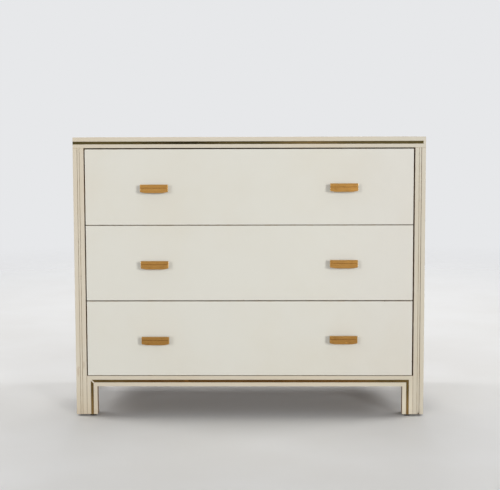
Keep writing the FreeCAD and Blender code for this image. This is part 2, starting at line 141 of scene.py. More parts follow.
def box_mesh(low, high):
    """A plain board between two corners."""
    bm = bmesh.new()
    bmesh.ops.create_cube(bm, size=1.0)
    bmesh.ops.scale(bm, vec=high - low, verts=bm.verts)
    bmesh.ops.translate(bm, vec=(low + high) / 2, verts=bm.verts)
    return bm


def worn_layer(bm):
    """Note on each face of whether it wears first. Making it comes before faces are chosen."""
    return bm.faces.layers.float.get("worn") or bm.faces.layers.float.new("worn")


def ease(bm, edges, radius):
    """Round edges over, and note the new faces as the ones that wear first."""
    worn = worn_layer(bm)
    made = bmesh.ops.bevel(
        bm,
        geom=edges,
        offset=radius,
        offset_type="OFFSET",
        affect="EDGES",
        segments=EASE_STEPS,
        profile=ROUND,
        clamp_overlap=False,
        material=-1,
    )
    for face in made["faces"]:
        face[worn] = 1.0


def outer_edges(bm):
    """Edges that stand out and are long enough to ease."""
    return [
        edge
        for edge in bm.edges
        if edge.is_convex
        and edge.calc_face_angle() > SHARP
        and edge.calc_length() > SHORTEST_EDGE
    ]


def turned(profile):
    """Solid spun round Z from (radius, height) pairs that start and end on the axis."""
    bm = bmesh.new()
    verts = [bm.verts.new((radius, 0, height)) for radius, height in profile]
    edges = [bm.edges.new(pair) for pair in zip(verts, verts[1:])]
    bmesh.ops.spin(
        bm,
        geom=verts + edges,
        cent=(0, 0, 0),
        axis=(0, 0, 1),
        angle=2 * math.pi,
        steps=TURNED_STEPS,
        use_merge=True,
    )
    bmesh.ops.remove_doubles(bm, verts=bm.verts, dist=MERGE)
    bmesh.ops.recalc_face_normals(bm, faces=bm.faces)
    return bm


def aim(bm, point, direction):
    """Turn a mesh from +Z to a direction and carry its origin to a point."""
    turn = Vector((0, 0, 1)).rotation_difference(direction).to_matrix().to_4x4()
    bmesh.ops.transform(bm, matrix=Matrix.Translation(point) @ turn, verts=bm.verts)
    return bm


def join(meshes):
    """One mesh of several."""
    joined = bmesh.new()
    for bm in meshes:
        part = bpy.data.meshes.new("part")
        bm.to_mesh(part)
        bm.free()
        joined.from_mesh(part)
        bpy.data.meshes.remove(part)
    return joined


def islands(node):
    """The points of each separate solid of a node."""
    bm = bmesh.new()
    bm.from_mesh(frame["nodes"][node].data)
    bmesh.ops.remove_doubles(bm, verts=bm.verts, dist=MERGE)
    seen = set()
    groups = []
    for start in bm.verts:
        if start in seen:
            continue
        seen.add(start)
        group = [start]
        for vert in group:  # which grows as it is walked
            for edge in vert.link_edges:
                other = edge.other_vert(vert)
                if other not in seen:
                    seen.add(other)
                    group.append(other)
        groups.append([vert.co.copy() for vert in group])
    bm.free()
    return groups


def corners(points):
    """The lowest and highest corners of a box round points."""
    low = Vector([min(point[axis] for point in points) for axis in range(3)])
    high = Vector([max(point[axis] for point in points) for axis in range(3)])
    return low, high


# Boards, brass lines and strips

def on_mitre(vert):
    """Whether a point lies in the joint between the base rail and a foot."""
    rail_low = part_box("base_rail")[0].z
    foot_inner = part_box("right_foot")[0].x
    return abs(abs(vert.co.x) - foot_inner - vert.co.z + rail_low) < MITRE_SLACK


def eased_board(node):
    """Board, strip or brass line with its outer edges eased. Mitred joints stay tight."""
    bm = merged_copy(node)
    edges = outer_edges(bm)
    if node in ("base_rail", "left_foot", "right_foot"):
        edges = [edge for edge in edges if not all(on_mitre(vert) for vert in edge.verts)]
    ease(bm, edges, EASING[SLOT_OF[node]])
    return bm


def drawer_front(node):
    """Front of a drawer, with all its edges eased."""
    bm = box_mesh(*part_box(node))
    ease(bm, bm.edges[:], FRONT_EASING)
    return bm


# Pulls

def round_corners(bm, verts, reach):
    """Round the corners of a flat outline, from this far along its edges."""
    bmesh.ops.bevel(
        bm,
        geom=verts,
        offset=reach,
        offset_type="OFFSET",
        affect="VERTICES",
        segments=BAR_EASE_STEPS,
        profile=ROUND,
        material=-1,
    )


def round_rim(bm, face, radius):
    """Round the edge of a flat face in rings, and note them as worn."""
    worn = worn_layer(bm)
    turns = [step * math.pi / 2 / BAR_EASE_STEPS for step in range(BAR_EASE_STEPS + 1)]
    for start, end in zip(turns, turns[1:]):
        made = bmesh.ops.inset_individual(
            bm,
            faces=[face],
            thickness=radius * (math.cos(start) - math.cos(end)),
            depth=radius * (math.sin(end) - math.sin(start)),
            use_even_offset=True,
        )
        for ring in made["faces"]:
            ring[worn] = 1.0


def bar(low, high):
    """Flat bar with a straight upper edge, slanted lower corners and a fine line along it."""
    middle = (low.x + high.x) / 2
    outline = [
        (middle - BAR_FLAT / 2, low.z),
        (middle + BAR_FLAT / 2, low.z),
        (high.x, low.z + BAR_RISE),
        (high.x, high.z),
        (low.x, high.z),
        (low.x, low.z + BAR_RISE),
    ]
    bm = bmesh.new()
    worn_layer(bm)
    verts = [bm.verts.new((x, low.y + BAR_FACE_EASING, z)) for x, z in outline]
    bm.faces.new(verts)
    round_corners(bm, verts[:2], BAR_BEND)
    upper = [vert for vert in bm.verts if vert.co.z > low.z + BAR_RISE - MERGE]
    round_corners(bm, upper, BAR_CORNER)
    face = bm.faces[:][0]
    made = bmesh.ops.extrude_face_region(bm, geom=[face], use_keep_orig=True)["geom"]
    back = [item for item in made if isinstance(item, bmesh.types.BMVert)]
    thickness = BAR_THICKNESS - BAR_FACE_EASING - BAR_BACK_EASING
    bmesh.ops.translate(bm, vec=(0, thickness, 0), verts=back)
    bmesh.ops.recalc_face_normals(bm, faces=bm.faces)
    for flat in [face for face in bm.faces if abs(face.normal.y) > SQUARELY]:
        round_rim(bm, flat, BAR_FACE_EASING if flat.normal.y < 0 else BAR_BACK_EASING)

    line = high.z - GROOVE_DROP
    for z in (line - GROOVE_HALF, line, line + GROOVE_HALF):
        bmesh.ops.bisect_plane(
            bm, geom=bm.verts[:] + bm.edges[:] + bm.faces[:], plane_co=(0, 0, z), plane_no=(0, 0, 1)
        )
    for vert in bm.verts:
        depth = vert.co.y - low.y
        if abs(vert.co.z - line) < MERGE and depth < BAR_FACE_EASING:
            vert.co.y += GROOVE_DEPTH * (1 - depth / BAR_FACE_EASING)
    return bm


def post(x, z, low_y):
    """Round post from the drawer front to the bar, with a collar at its foot."""
    back_of_bar = low_y + BAR_THICKNESS
    length = FRONT - back_of_bar
    profile = [
        (0, 0),
        (POST_COLLAR_RADIUS, 0),
        (POST_COLLAR_RADIUS, POST_COLLAR * POST_COLLAR_WALL),
        (POST_COLLAR_RADIUS - POST_FLARE * POST_COLLAR_CHAMFER, POST_COLLAR),
        (POST_RADIUS, POST_COLLAR + POST_FLARE),
        (POST_RADIUS, length - POST_FLARE),
        (POST_RADIUS + POST_FLARE, length),
        (POST_RADIUS + POST_FLARE, length + BAR_THICKNESS / 2),
        (0, length + BAR_THICKNESS / 2),
    ]
    return aim(turned(profile), Vector((x, FRONT, z)), Vector((0, -1, 0)))


def pull(node):
    """Bar pull: the bar and its two posts."""
    low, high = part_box(node)
    middle = (low + high) / 2
    posts = [
        post(middle.x + side * POST_HALF_SPACING, middle.z, low.y) for side in (-1, 1)
    ]
    return join([bar(low, high)] + posts)


# Screws and glides

def screw_place(points):
    """Middle of a screw's head, the way it points, its length and its radii."""
    low, high = corners(points)
    size = high - low
    along = max(range(3), key=lambda axis: size[axis])
    middle = (low + high) / 2
    way = Vector([1.0 if axis == along else 0.0 for axis in range(3)])

    def reach(point):
        offset = point - middle
        return (offset - way * offset.dot(way)).length

    head_radius = max(reach(point) for point in points)
    rim = [point for point in points if reach(point) > head_radius * RIM_SHARE]
    if sum((point - middle).dot(way) for point in rim) > 0:
        way = -way
    tip = max((point - middle).dot(way) for point in points)
    shank = max(reach(point) for point in points if (point - middle).dot(way) > tip - MERGE)
    shoulder = max((point - middle).dot(way) for point in rim)
    return middle - way * tip, way, 2 * tip, shank, head_radius, shoulder + tip


def cross_recess(radius):
    """Outline of a cross, as points round it."""
    reach = radius * RECESS_REACH
    half = radius * RECESS_HALF_WIDTH
    arm = [(reach, -half), (reach, half), (half, half)]
    points = []
    for quarter in range(4):
        turn = Matrix.Rotation(quarter * math.pi / 2, 2)
        points += [turn @ Vector(point) for point in arm]
    return points


def lengthen(bm, edges, scale, depth):
    """Carry an open rim on to its next ring, and return the new rim."""
    made = bmesh.ops.extrude_edge_only(bm, edges=edges)["geom"]
    verts = [item for item in made if isinstance(item, bmesh.types.BMVert)]
    for vert in verts:
        vert.co.x *= scale
        vert.co.y *= scale
        vert.co.z += depth
    return [item for item in made if isinstance(item, bmesh.types.BMEdge)]


def screw(place):
    """Screw with a cross recess: its head's face at the origin, its shank along +Z."""
    point, way, length, shank, head_radius, shoulder = place
    pan = shoulder > MERGE
    face_radius = head_radius * (PAN_SHOULDER if pan else 1.0)
    bm = bmesh.new()
    bmesh.ops.create_circle(bm, cap_ends=False, segments=HEAD_STEPS, radius=face_radius)
    rim = bm.edges[:]
    outline = [bm.verts.new((x, y, 0)) for x, y in cross_recess(head_radius)]
    cross = [bm.edges.new(pair) for pair in zip(outline, outline[1:] + outline[:1])]
    bmesh.ops.triangle_fill(bm, edges=rim + cross, use_beauty=True)
    pocket = lengthen(bm, cross, RECESS_TAPER, head_radius * RECESS_DEPTH)
    bmesh.ops.contextual_create(bm, geom=pocket)
    if pan:
        rim = lengthen(bm, rim, head_radius / face_radius, shoulder * PAN_SLOPE)
        rim = lengthen(bm, rim, 1.0, shoulder * (1 - PAN_SLOPE))
        rim = lengthen(bm, rim, shank / head_radius, 0.0)
        head = shoulder
    else:
        head = head_radius - shank
        rim = lengthen(bm, rim, shank / head_radius, head)
    tip = TIP_LENGTH * shank
    rim = lengthen(bm, rim, 1.0, length - head - tip)
    rim = lengthen(bm, rim, TIP_TAPER, tip)
    bmesh.ops.contextual_create(bm, geom=rim)
    bmesh.ops.recalc_face_normals(bm, faces=bm.faces)
    return aim(bm, point, way)


def screws(node):
    """All the screws of a node."""
    return join([screw(screw_place(points)) for points in islands(node)])


def glide(points):
    """Nail-on glide: a domed foot with a sunk nail head, and the nail."""
    low, high = corners(points)
    radius = (high.x - low.x) / 2
    thickness = min(point.z for point in points if point.z > low.z + MERGE) - low.z
    pin = min(
        math.hypot(point.x - (low.x + high.x) / 2, point.y - (low.y + high.y) / 2)
        for point in points
        if point.z > high.z - MERGE
    )
    profile = [
        (0, thickness * NAIL_SINK),
        (radius * NAIL_HEAD, thickness * NAIL_SINK),
        (radius * NAIL_HOLE, 0),
        (radius - GLIDE_LIP * GLIDE_FLAT_EDGE, 0),
        (radius - GLIDE_LIP, GLIDE_LIP * GLIDE_LIP_CORNER),
        (radius - GLIDE_LIP * GLIDE_LIP_CORNER, GLIDE_LIP),
        (radius, thickness * GLIDE_ROUNDING),
        (radius, thickness),
        (pin, thickness),
        (pin, high.z - low.z - pin),
        (0, high.z - low.z),
    ]
    centre = Vector(((low.x + high.x) / 2, (low.y + high.y) / 2, low.z))
    return aim(turned(profile), centre, Vector((0, 0, 1)))


def glides(node):
    """All the glides of a node."""
    return join([glide(points) for points in islands(node)])


# Finishes

def tint(red, green, blue):
    """Linear colour of sRGB values from 0 to 255."""
    def linear(value):
        share = value / 255
        return share / 12.92 if share <= 0.04045 else ((share + 0.055) / 1.055) ** 2.4

    return (linear(red), linear(green), linear(blue), 1.0)


SOCKETS = {
    "colour": "Base Color",
    "roughness": "Roughness",
    "metallic": "Metallic",
    "specular": "Specular IOR Level",
    "normal": "Normal",
}

# Sockets of a Mix node set to colours, which share their names with its other ones
MIX_SHARE = 0
MIX_FIRST = 6
MIX_SECOND = 7
MIX_RESULT = 2

# Uneven patterns: features to the metre, octaves and roughness
PATTERNS = {
    "growth_rings": (1.0, 1.0, 0.4),
    "wood_fibres": (1.0, 3.0, 0.6),
    "wood_pores": (1.0, 1.0, 0.5),
    "handling": (9.0, 3.0, 0.5),
    "timber_edges": (80.0, 2.0, 0.5),
    "mark_outlines": (420.0, 2.0, 0.5),
    "joint_grime_and_shade": (60.0, 3.0, 0.5),
    "yellowing": (3.5, 4.0, 0.55),
    "lacquer_tooth": (700.0, 2.0, 0.5),
    "rubbing": (55.0, 4.0, 0.6),
    "chipping": (34.0, 5.0, 0.65),
    "lacquer_peel": (330.0, 1.0, 0.5),
    "lacquer_swell": (16.0, 1.0, 0.5),
    "lacquer_sheen": (24.0, 4.0, 0.5),
    "floor_splashes": (160.0, 3.0, 0.5),
    "lacquer_feather": (130.0, 3.0, 0.5),
    "brush_strokes": (1.0, 3.0, 0.6),
    "painted_glints": (1.0, 2.0, 0.5),
    "brass_blotches": (70.0, 4.0, 0.6),
    "line_patches": (11.0, 4.0, 0.6),
    "line_spots": (240.0, 3.0, 0.6),
    "line_scrapes": (48.0, 3.0, 0.5),
    "zinc_clouds": (300.0, 3.0, 0.5),
    "nylon_scuffs": (500.0, 4.0, 0.7),
    "pressed_fibres": (420.0, 5.0, 0.7),
    "pressed_clouds": (6.0, 5.0, 0.6),
    "floor_clouds": (2.0, 3.0, 0.5),
}

# How patterns show: the noise at which one starts and is full, and its least and most strength
SHOWING = {
    "wood_fibres": (0.3, 0.8, 0.0, 0.5),
    "wood_pores": (0.62, 0.72, 0.0, 0.22),
    "handling": (0.45, 0.8, 0.0, 0.25),
    "timber_edges": (0.4, 0.6, 0.05, 0.35),
    "joint_grime_and_shade": (0.25, 0.65, 0.45, 1.0),
    "yellowing": (0.35, 0.75, 0.0, 0.4),
    "lacquer_tooth": (0.35, 0.75, 0.0, 0.05),
    "rubbing": (0.42, 0.66, 0.15, 1.0),
    "chipping": (0.665, 0.685, 0.0, 1.0),
    "brush_strokes": (0.35, 0.65, 0.0, 1.0),
    "painted_glints": (0.58, 0.76, 0.0, 0.6),
    "brass_blotches": (0.5, 0.75, 0.0, 0.45),
    "line_patches": (0.35, 0.65, 0.0, 1.0),
    "line_spots": (0.5, 0.75, 0.0, 0.6),
    "line_scrapes": (0.6, 0.75, 0.0, 0.5),
    "pressed_clouds": (0.35, 0.65, 0.0, 0.6),
    "floor_clouds": (0.3, 0.7, 0.0, 0.3),
}
NOISE_LOW = 0.3  # most noise lies between these
NOISE_HIGH = 0.7

# The ways that a figure can run
SIDEWAYS = 0
UPWARDS = 2

# Patterns drawn out along one way: features to the metre across it and along it
RINGS_ALONG = 0.9
FIBRES = (620.0, 14.0)
PORES = (1500.0, 90.0)
BRUSH_STROKES = (4200.0, 24.0)
PAINTED_GLINT_STRETCH = (7600.0, 16.0)


class Recipe:
    """The nodes of one finish. Patterns are laid out in metres on the chest."""

    def __init__(self, name):
        self.material = bpy.data.materials.new(name)
        self.material.use_nodes = True
        self.tree = self.material.node_tree
        self.shader = self.tree.nodes["Principled BSDF"]
        coordinates = self.tree.nodes.new("ShaderNodeTexCoord")
        self.place = coordinates.outputs["Object"]
        self.facing = coordinates.outputs["Normal"]

    def put(self, socket, value):
        if isinstance(value, bpy.types.NodeSocket):
            self.tree.links.new(value, socket)
        else:
            socket.default_value = value

    def node(self, kind, inputs, **settings):
        made = self.tree.nodes.new(kind)
        for name, value in settings.items():
            setattr(made, name, value)
        for name, value in inputs.items():
            self.put(made.inputs[name], value)
        return made

    def stretch(self, scale):
        """Coordinates scaled by a different number along each axis."""
        return self.node(
            "ShaderNodeMapping", {"Vector": self.place, "Scale": scale}
        ).outputs["Vector"]

    def drawn_out(self, along, across, lengthwise):
        """Coordinates for a pattern that is drawn out along one axis."""
        scale = [across] * 3
        scale[along] = lengthwise
        return self.stretch(scale)

    def noise(self, pattern, place=None):
        scale, detail, roughness = PATTERNS[pattern]
        inputs = {
            "Vector": place or self.place,
            "Scale": scale,
            "Detail": detail,
            "Roughness": roughness,
        }
        return self.node("ShaderNodeTexNoise", inputs).outputs["Fac"]

    def cells(self, scale, place=None):
        return self.node("ShaderNodeTexVoronoi", {"Vector": place or self.place, "Scale": scale})

    def ramp(self, value, *stops):
        made = self.node("ShaderNodeValToRGB", {"Fac": value})
        elements = made.color_ramp.elements
        while len(elements) < len(stops):
            elements.new(1.0)
        for element, (position, colour) in zip(elements, stops):
            element.position = position
            element.color = colour
        return made.outputs["Color"]

    def band(self, value, start, end, low=0.0, high=1.0):
        """A value carried smoothly from low to high between start and end."""
        return self.node(
            "ShaderNodeMapRange",
            {"Value": value, "From Min": start, "From Max": end, "To Min": low, "To Max": high},
            interpolation_type="SMOOTHSTEP",
        ).outputs["Result"]

    def mix(self, share, first, second, blend="MIX"):
        made = self.node("ShaderNodeMix", {}, data_type="RGBA", blend_type=blend)
        self.put(made.inputs[MIX_SHARE], share)
        self.put(made.inputs[MIX_FIRST], first)
        self.put(made.inputs[MIX_SECOND], second)
        return made.outputs[MIX_RESULT]

    def math(self, operation, first, second=0.0):
        made = self.node("ShaderNodeMath", {}, operation=operation)
        self.put(made.inputs[0], first)
        self.put(made.inputs[1], second)
        return made.outputs[0]

    def times(self, first, *others):
        for other in others:
            first = self.math("MULTIPLY", first, other)
        return first

    def patches(self, pattern, place=None):
        """The patches in which a pattern shows."""
        return self.band(self.noise(pattern, place), *SHOWING[pattern])

    def follow(self, field, low, high):
        """A value that follows a noise from one limit to the other."""
        return self.band(field, NOISE_LOW, NOISE_HIGH, low, high)

    def size_of(self, value):
        return self.math("ABSOLUTE", value)

    def axis(self, vector, name):
        return self.node("ShaderNodeSeparateXYZ", {"Vector": vector}).outputs[name]

    def worn(self):
        """1 on eased edges."""
        return self.node("ShaderNodeAttribute", {}, attribute_name="worn").outputs["Fac"]

    def bump(self, height, distance, under=None):
        inputs = {"Height": height, "Distance": distance}
        if under:
            inputs["Normal"] = under
        return self.node("ShaderNodeBump", inputs).outputs["Normal"]

    def finish(self, **sockets):
        for name, value in sockets.items():
            self.put(self.shader.inputs[SOCKETS[name]], value)
        return self.material


FIBRE_HEIGHT = 0.00008
RINGS_SHOWN = (-0.6, 1.0, 0.0, 0.42)  # by the sine of the way across a ring
END_GRAIN = (0.75, 0.95, 0.0, 0.45)  # by how squarely a face looks along the grain
TIMBER_SMOOTHER = 0.06  # how far its roughness strays either way
TIMBER_ROUGHER = 0.08


def grain(recipe, along, pale, dark, band=7.0, rings=9.0):
    """Growth rings and fibres that run along one axis: colour and height."""
    field = recipe.noise("growth_rings", recipe.drawn_out(along, band, RINGS_ALONG))
    waves = recipe.math("SINE", recipe.times(field, rings * 2 * math.pi))
    rings_shown = recipe.band(waves, *RINGS_SHOWN)
    fibres = recipe.noise("wood_fibres", recipe.drawn_out(along, *FIBRES))
    streaks = recipe.band(fibres, *SHOWING["wood_fibres"])
    colour = recipe.mix(recipe.math("ADD", rings_shown, streaks), pale, dark)
    pores = recipe.patches("wood_pores", recipe.drawn_out(along, *PORES))
    colour = recipe.mix(pores, colour, dark)
    end = recipe.size_of(recipe.axis(recipe.facing, "XYZ"[along]))
    return recipe.mix(recipe.band(end, *END_GRAIN), colour, dark), fibres


def timber(name, along, pale, dark, roughness=0.5, **figure):
    """Clear finished or bare timber, darker where it is handled and along its edges."""
    recipe = Recipe(name)
    colour, fibres = grain(recipe, along, pale, dark, **figure)
    colour = recipe.mix(recipe.patches("handling"), colour, dark, "MULTIPLY")
    edge = recipe.times(recipe.worn(), recipe.patches("timber_edges"))
    return recipe.finish(
        colour=recipe.mix(edge, colour, dark),
        roughness=recipe.follow(fibres, roughness - TIMBER_SMOOTHER, roughness + TIMBER_ROUGHER),
        normal=recipe.bump(fibres, FIBRE_HEIGHT),
    )


CREAM = tint(213, 204, 186)
CREAM_YELLOWED = tint(206, 189, 160)
FRONT_CREAM = tint(221, 219, 209)
FRONT_YELLOWED = tint(216, 209, 191)
RUBBED = tint(188, 164, 122)
BARE = tint(108, 74, 46)
STAIN = tint(150, 112, 72)
LEG_YELLOW = tint(196, 176, 142)  # the left leg's tone towards the floor
LEG_PALE = tint(232, 222, 200)  # the right foot's
# grime in the joints, and painted shade in the joints and the strips' grooves
GRIME_AND_SHADE = tint(92, 68, 48)
EDGE_BROWN = tint(170, 130, 90)
CASE_SHADED = tint(248, 250, 251)  # painted shade: what the case's right side keeps of its colour
# painted shade: what the fronts' right side keeps of their colour
FRONT_SHADED = tint(252, 251, 252)
VENEER_PALE = tint(176, 138, 100)
VENEER_DARK = tint(126, 90, 60)

LACQUER_SPECULAR = 0.45
LACQUER_ROUGHNESS = (0.34, 0.46)
FRONT_RUBBED = 0.7  # how much of the lacquer's edges is rubbed through to its ground
CASE_RUBBED = 0.65
SHADED_FROM_TO = (0.15, 0.43)  # in x, where the painted shade on the right side starts and is full
SPECKS = 42.0  # places for one to the metre
SPECK_CHANCE = (0.955, 0.96)  # the random numbers of places that hold one lie past these
SPECK_EDGE = (0.012, 0.03, 0.35, 0.0)
NARROW_EDGE = (0.2, 0.7, 0.35, 0.0)  # by how squarely a face looks forwards
SWELL_HEIGHT = 0.0009
PEEL_HEIGHT = 0.00004
CHIP_DEPTH = 0.0003
LEG_TONES_FROM_TO = (-0.3, 0.43)  # in x, from the left leg's tone to the right foot's
LEG_SHARES = (0.0, 0.4, 0.34, 0.55)  # from where to where in x, and from how much to how much
RIGHT_LEG_SHARE = 0.1
LEG_TONE_TOP = 0.15
SPLASHES = (0.003, 0.03, 0.2, 0.0)  # from where to where in z, and from how much to how much
VENEER_RINGS = 7.0
VENEER_ROUGHNESS = 0.6

# How far the lacquer reaches in behind the front edges, and how gradually it ends there
LACQUER_REACH = 0.005
LACQUER_FEATHER = 0.004
INSIDE_START = 0.0002  # past a board's inner face, where it starts to be lacquered
INSIDE_END = 0.0006

# The grooves of the edge strips, and the painted shade on their walls
STRIP_LOW, STRIP_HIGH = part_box("right_edge_strip")
STRIP_MIDDLE = (STRIP_LOW.x + STRIP_HIGH.x) / 2
GROOVE_HALF_WIDTH = (STRIP_HIGH.x - STRIP_LOW.x) / 2 + 0.0005
GROOVE_BACK = STRIP_HIGH.y
GROOVE_UNSHADED = 0.0007  # depth down to which a groove is unshaded, and from which its painted shade is full
GROOVE_FULLY_SHADED = 0.0012
GROOVE_SLACK = 0.0001
GROOVE_FADE = 0.0002
SHADE_TURN = 0.001  # half the width over which the right-hand groove turns to full painted shade
LITTLE_SHADE = 0.1

# Dark lines on the front of the case, partly dirty joints and partly painted shade: place in x,
# darkness, and the heights they run between
JOINT_LINES = (
    (-STRIP_MIDDLE - GROOVE_HALF_WIDTH, 0.10, 0.0, CASE_TOP),
    (-STRIP_MIDDLE + GROOVE_HALF_WIDTH, 0.08, 0.0, CASE_TOP),
    (STRIP_MIDDLE + GROOVE_HALF_WIDTH, 0.50, 0.0, CASE_TOP),
    (-INNER_HALF, 0.40, 0.0, RAIL_TOP),
    (INNER_HALF, 0.30, 0.0, RAIL_TOP),
    (INNER_HALF, 0.90, RAIL_TOP, CASE_TOP),
)
JOINT_CORE = 0.00036  # half the width of a joint line's full darkness
JOINT_REACH = 0.00144  # half the width at which it has faded out
FOOT_JOINT = 0.0005  # half the width over which the tone changes between a foot and its leg

# Brown marks on the front of the case: middle in x and z, and half sizes
CASE_MARKS = (
    (-0.4392, 0.1375, 0.0024, 0.0110),
    (-0.4545, 0.1200, 0.0030, 0.0150),
    (-0.4506, 0.1302, 0.0012, 0.0022),
)
# A nick in the lower edge of the middle drawer's front
FRONT_MARKS = ((-0.0155, 0.3103, 0.0022, 0.0013),)
MARK_DEPTH = 0.004
MARK_RAGGEDNESS = 0.9
MARK_EDGE = (1.0, 1.7, 1.0, 0.0)
MARK_STRENGTH = 0.3


def marks(recipe, places):
    """1 inside small uneven patches on the front, 0 elsewhere."""
    total = 0.0
    ragged = recipe.times(recipe.noise("mark_outlines"), MARK_RAGGEDNESS)
    for x, z, half_width, half_height in places:
        place = recipe.node(
            "ShaderNodeMapping",
            {
                "Vector": recipe.place,
                "Location": (-x / half_width, -FRONT / MARK_DEPTH, -z / half_height),
                "Scale": (1 / half_width, 1 / MARK_DEPTH, 1 / half_height),
            },
        ).outputs["Vector"]
        away = recipe.node("ShaderNodeVectorMath", {0: place}, operation="LENGTH").outputs["Value"]
        patch = recipe.band(recipe.math("ADD", away, ragged), *MARK_EDGE)
        total = recipe.math("MAXIMUM", patch, total)
    return total


def joint_lines(recipe):
    """Dark lines in the joints and beside the strips on the front of the case: partly grime, partly
    painted shade.
    """
    x = recipe.axis(recipe.place, "X")
    z = recipe.axis(recipe.place, "Z")
    total = 0.0
    for middle, darkness, low, high in JOINT_LINES:
        away = recipe.size_of(recipe.math("SUBTRACT", x, middle))
        line = recipe.band(away, JOINT_CORE, JOINT_REACH, darkness, 0.0)
        above = recipe.math("GREATER_THAN", z, low)
        below = recipe.math("LESS_THAN", z, high)
        total = recipe.math("MAXIMUM", recipe.times(line, above, below), total)
    return recipe.times(total, recipe.patches("joint_grime_and_shade"))


def painted_groove_shade(recipe):
    """Painted shade on the walls and the floor of the strips' grooves, most at the far right."""
    x = recipe.axis(recipe.place, "X")
    y = recipe.axis(recipe.place, "Y")
    z = recipe.axis(recipe.place, "Z")
    turn = (STRIP_MIDDLE - SHADE_TURN, STRIP_MIDDLE + SHADE_TURN)
    groove_shade = recipe.band(x, *turn, LITTLE_SHADE, 1.0)
    away = recipe.size_of(recipe.math("SUBTRACT", recipe.size_of(x), STRIP_MIDDLE))
    wall = GROOVE_HALF_WIDTH + GROOVE_SLACK
    beside = recipe.band(away, wall, wall + GROOVE_FADE, 1.0, 0.0)
    deep = recipe.band(y, FRONT + GROOVE_UNSHADED, FRONT + GROOVE_FULLY_SHADED)
    near = recipe.math("LESS_THAN", y, GROOVE_BACK + GROOVE_SLACK)
    below = recipe.math("LESS_THAN", z, CASE_TOP - GROOVE_SLACK)
    return recipe.times(groove_shade, beside, deep, near, below)


def cream_lacquer(recipe, colour, yellowed, shaded, rubbed, mark_places):
    """Sprayed satin lacquer, yellowed in clouds, thin at the edges, chipped here and there, and
    with painted shade on its right side.
    """
    paint = recipe.mix(recipe.patches("yellowing"), colour, yellowed)
    paint = recipe.mix(recipe.patches("lacquer_tooth"), paint, yellowed)
    # painted shade: the right side is darkened as if less light fell on it
    shade = recipe.band(recipe.axis(recipe.place, "X"), *SHADED_FROM_TO)
    paint = recipe.mix(shade, paint, recipe.mix(1.0, paint, shaded, "MULTIPLY"))
    specks = recipe.cells(SPECKS)
    chosen = recipe.band(recipe.axis(specks.outputs["Color"], "X"), *SPECK_CHANCE)
    dot = recipe.band(specks.outputs["Distance"], *SPECK_EDGE)
    paint = recipe.mix(recipe.times(chosen, dot), paint, STAIN)

    worn = recipe.worn()
    rubbing = recipe.times(worn, recipe.patches("rubbing"), rubbed)
    paint = recipe.mix(rubbing, paint, RUBBED)
    chips = recipe.times(worn, recipe.patches("chipping"))
    paint = recipe.mix(chips, paint, BARE)
    stained = recipe.times(marks(recipe, mark_places), MARK_STRENGTH)
    paint = recipe.mix(stained, paint, STAIN)

    normal = recipe.bump(recipe.noise("lacquer_swell"), SWELL_HEIGHT)
    normal = recipe.bump(recipe.noise("lacquer_peel"), PEEL_HEIGHT, normal)
    normal = recipe.bump(chips, -CHIP_DEPTH, normal)
    roughness = recipe.follow(recipe.noise("lacquer_sheen"), *LACQUER_ROUGHNESS)
    return paint, roughness, normal


def front_finish(name):
    """Pale lacquer, browner on the narrow edges."""
    recipe = Recipe(name)
    paint, roughness, normal = cream_lacquer(
        recipe, FRONT_CREAM, FRONT_YELLOWED, FRONT_SHADED, FRONT_RUBBED, FRONT_MARKS
    )
    forwards = recipe.size_of(recipe.axis(recipe.facing, "Y"))
    paint = recipe.mix(recipe.band(forwards, *NARROW_EDGE), paint, EDGE_BROWN)
    return recipe.finish(
        colour=paint, roughness=roughness, normal=normal, specular=LACQUER_SPECULAR
    )


def case_finish(name):
    """Cream lacquer, yellow and soiled towards the floor, with grime and painted shade in its
    joints and painted shade in its grooves, over veneer that is bare inside.
    """
    recipe = Recipe(name)
    paint, roughness, normal = cream_lacquer(
        recipe, CREAM, CREAM_YELLOWED, CASE_SHADED, CASE_RUBBED, CASE_MARKS
    )
    x = recipe.axis(recipe.place, "X")
    z = recipe.axis(recipe.place, "Z")
    leg = recipe.mix(recipe.band(x, *LEG_TONES_FROM_TO), LEG_YELLOW, LEG_PALE)
    share = recipe.band(x, *LEG_SHARES)
    joint = (INNER_HALF - FOOT_JOINT, INNER_HALF + FOOT_JOINT)
    foot = recipe.band(x, *joint, 1.0, RIGHT_LEG_SHARE)
    low = recipe.band(z, 0.0, LEG_TONE_TOP, 1.0, 0.0)
    paint = recipe.mix(recipe.times(low, share, foot), paint, leg)
    splashed = recipe.times(recipe.band(z, *SPLASHES), recipe.noise("floor_splashes"))
    paint = recipe.mix(splashed, paint, STAIN)

    wood, _ = grain(recipe, UPWARDS, VENEER_PALE, VENEER_DARK, rings=VENEER_RINGS)
    feather = recipe.times(recipe.noise("lacquer_feather"), LACQUER_FEATHER)
    depth = recipe.math("ADD", recipe.axis(recipe.place, "Y"), feather)
    lacquer_end = FRONT + LACQUER_REACH
    behind = recipe.band(depth, lacquer_end, lacquer_end + LACQUER_FEATHER)
    across = recipe.size_of(x)
    between = recipe.band(across, INNER_HALF + INSIDE_START, INNER_HALF + INSIDE_END, 1.0, 0.0)
    below = recipe.band(z, CASE_TOP + INSIDE_START, CASE_TOP + INSIDE_END, 1.0, 0.0)
    inside = recipe.times(behind, between, below)
    # dark joint lines: partly grime, partly painted shade
    paint = recipe.mix(joint_lines(recipe), paint, GRIME_AND_SHADE)
    # painted shade in the strips' grooves
    paint = recipe.mix(painted_groove_shade(recipe), paint, GRIME_AND_SHADE)
    paint = recipe.mix(inside, paint, wood)
    roughness = recipe.math("MAXIMUM", roughness, recipe.times(inside, VENEER_ROUGHNESS))
    return recipe.finish(
        colour=paint, roughness=roughness, normal=normal, specular=LACQUER_SPECULAR
    )


